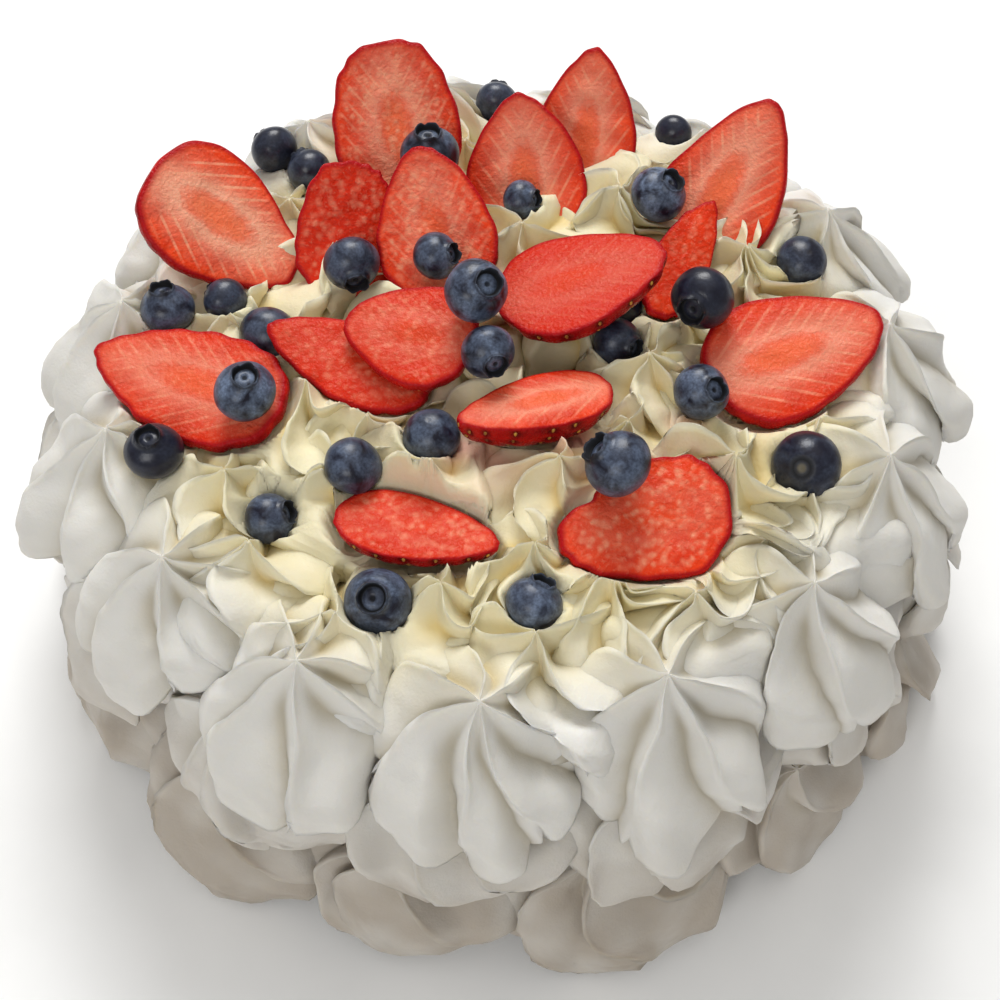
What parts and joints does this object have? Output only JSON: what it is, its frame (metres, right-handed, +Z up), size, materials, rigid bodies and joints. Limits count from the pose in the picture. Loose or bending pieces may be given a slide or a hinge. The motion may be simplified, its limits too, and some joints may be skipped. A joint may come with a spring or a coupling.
{
  "type": "pavlova",
  "caption": "Round pavlova: a tall case of piped white meringue rosettes filled with ruffled cream and topped with blueberries and strawberry slices.",
  "frame": {"origin": "centre of the flat base, on the surface it rests on", "axes": "+Z up; +Y towards the back, where the strawberry slices stand highest; +X to the right as seen from the front"},
  "size_m": [0.2749, 0.2767, 0.1372],
  "materials": {
    "meringue": "matt white, faintly glossy on the ridges",
    "cream": "soft ivory satin",
    "blueberry": "dark blue skin with a patchy grey bloom",
    "strawberry": "wet red cut flesh over a glossy skin"
  },
  "bodies": {
    "root": {"meringue": "meringue", "cream": "cream", "blueberry_01": "blueberry", "blueberry_02": "blueberry", "blueberry_03": "blueberry", "blueberry_04": "blueberry", "blueberry_05": "blueberry", "blueberry_06": "blueberry", "blueberry_07": "blueberry", "blueberry_08": "blueberry", "blueberry_09": "blueberry", "blueberry_10": "blueberry", "blueberry_11": "blueberry", "blueberry_12": "blueberry", "blueberry_13": "blueberry", "blueberry_14": "blueberry", "blueberry_15": "blueberry", "blueberry_16": "blueberry", "blueberry_17": "blueberry", "blueberry_18": "blueberry", "blueberry_19": "blueberry", "blueberry_20": "blueberry", "blueberry_21": "blueberry", "blueberry_22": "blueberry", "blueberry_23": "blueberry", "blueberry_24": "blueberry", "blueberry_25": "blueberry", "blueberry_26": "blueberry", "blueberry_27": "blueberry", "blueberry_28": "blueberry", "strawberry_01": "strawberry", "strawberry_02": "strawberry", "strawberry_03": "strawberry", "strawberry_04": "strawberry", "strawberry_05": "strawberry", "strawberry_06": "strawberry", "strawberry_07": "strawberry", "strawberry_08": "strawberry", "strawberry_09": "strawberry", "strawberry_10": "strawberry", "strawberry_11": "strawberry", "strawberry_12": "strawberry", "strawberry_13": "strawberry", "strawberry_14": "strawberry", "strawberry_15": "strawberry", "strawberry_16": "strawberry"}
  },
  "joints": []
}
